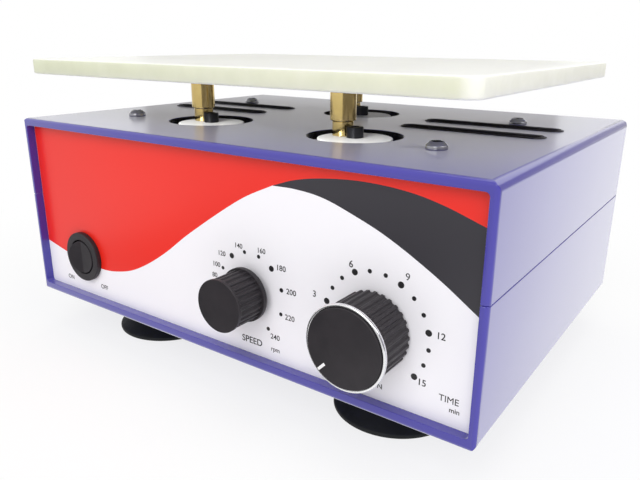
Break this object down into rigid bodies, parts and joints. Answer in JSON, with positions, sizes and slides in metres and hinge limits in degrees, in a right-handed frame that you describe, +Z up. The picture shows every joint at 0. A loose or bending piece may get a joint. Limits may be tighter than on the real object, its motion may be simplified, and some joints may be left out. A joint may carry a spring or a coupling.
{
  "type": "orbital shaker",
  "caption": "Bench-top orbital shaker: flat cream platform on eccentric crank posts above a violet-blue case with a colour-block panel, rocker switch, speed knob and timer knob.",
  "frame": {"origin": "on the bench, under the middle of the whole object's box at rest", "axes": "+X to the right seen from the control panel, +Y to the back, +Z up"},
  "size_m": [0.24, 0.1986, 0.1369],
  "materials": {
    "case_plastic": "glossy violet-blue moulding",
    "front_film": "satin printed film, red, white and dark fields",
    "rear_film": "plain matt",
    "platform_plastic": "cream sheet, satin top, pale green edge",
    "black_plastic": "moulded black",
    "black_rubber": "matt rubber",
    "white_acetal": "smooth turned",
    "turned_brass": "turned, polished",
    "bright_steel": "turned and plated",
    "black_steel": "blackened",
    "bright_ring": "polished ring",
    "alloy": "machined",
    "board_laminate": "green laminate"
  },
  "bodies": {
    "base": {"top_shell": "case_plastic", "bottom_shell": "case_plastic", "front_panel": "front_film", "rear_panel": "rear_film", "vent_inserts": "black_plastic", "top_screws": "bright_steel", "case_screws": "bright_steel", "foot_front_left": "black_rubber", "foot_front_right": "black_rubber", "foot_rear_left": "black_rubber", "foot_rear_right": "black_rubber", "foot_screws": "bright_steel", "mechanism_plate": "alloy", "plate_spacers": "bright_steel", "bearing_housing_left": "alloy", "bearing_housing_right": "alloy", "bearing_housing_rear": "alloy", "ball_bearings": "bright_steel", "housing_screws": "black_steel", "gear_motor": "bright_steel", "motor_screws": "black_steel", "drive_belt": "black_rubber", "power_switch": "black_plastic", "speed_pot": "bright_steel", "timer_body": "black_plastic", "control_nuts": "bright_steel", "control_board": "board_laminate", "board_standoffs": "turned_brass", "transformer": "bright_steel", "mains_inlet": "black_plastic", "fuse_holder": "black_plastic"},
    "rear_crank": {"spindle_rear": "bright_steel", "crank_disc_rear": "white_acetal", "crank_pin_rear": "bright_steel", "thrust_collar_rear": "turned_brass", "crank_screw_rear": "black_steel", "driven_pulley": "white_acetal"},
    "left_crank": {"spindle_left": "bright_steel", "crank_disc_left": "white_acetal", "crank_pin_left": "bright_steel", "thrust_collar_left": "turned_brass", "crank_screw_left": "black_steel"},
    "right_crank": {"spindle_right": "bright_steel", "crank_disc_right": "white_acetal", "crank_pin_right": "bright_steel", "thrust_collar_right": "turned_brass", "crank_screw_right": "black_steel"},
    "tray": {"platform": "platform_plastic", "platform_bush_left": "turned_brass", "platform_bush_right": "turned_brass", "platform_bush_rear": "turned_brass"},
    "motor_rotor": {"motor_shaft": "bright_steel", "motor_pulley": "alloy"},
    "rocker": {"switch_rocker": "black_plastic"},
    "speed_dial": {"speed_knob": "black_plastic", "pot_shaft": "bright_steel"},
    "timer_dial": {"timer_knob": "black_plastic", "timer_knob_ring": "bright_ring", "timer_shaft": "bright_steel"}
  },
  "joints": [
    {"name": "rear_crank_spin", "type": "hinge", "parent": "base", "child": "rear_crank", "pos_m": [0, 0.03625, 0.1093], "axis": [0, 0, 1], "continuous": true},
    {"name": "left_crank_spin", "type": "hinge", "parent": "base", "child": "left_crank", "pos_m": [-0.0407, -0.03425, 0.1093], "axis": [0, 0, 1], "continuous": true},
    {"name": "right_crank_spin", "type": "hinge", "parent": "base", "child": "right_crank", "pos_m": [0.0407, -0.03425, 0.1093], "axis": [0, 0, 1], "continuous": true},
    {"name": "platform_orbit", "type": "hinge", "parent": "rear_crank", "child": "tray", "pos_m": [-0.00775, 0.03907, 0.1299], "axis": [0, 0, 1], "continuous": true},
    {"name": "motor_spin", "type": "hinge", "parent": "base", "child": "motor_rotor", "pos_m": [0.06, 0.03625, 0.098], "axis": [0, 0, 1], "continuous": true},
    {"name": "switch_rock", "type": "hinge", "parent": "base", "child": "rocker", "pos_m": [-0.086, -0.08005, 0.0438], "axis": [0, 0, -1], "range_deg": [0, 20]},
    {"name": "speed_turn", "type": "hinge", "parent": "base", "child": "speed_dial", "pos_m": [0.0225, -0.07975, 0.0514], "axis": [0, 1, 0], "range_deg": [0, 280]},
    {"name": "timer_turn", "type": "hinge", "parent": "base", "child": "timer_dial", "pos_m": [0.079, -0.07975, 0.0514], "axis": [0, 1, 0], "range_deg": [0, 256]}
  ],
  "couplings": [
    {"joint": "left_crank_spin", "follows": "rear_crank_spin", "ratio": 1},
    {"joint": "right_crank_spin", "follows": "rear_crank_spin", "ratio": 1},
    {"joint": "platform_orbit", "follows": "rear_crank_spin", "ratio": -1},
    {"joint": "motor_spin", "follows": "rear_crank_spin", "ratio": 2}
  ]
}
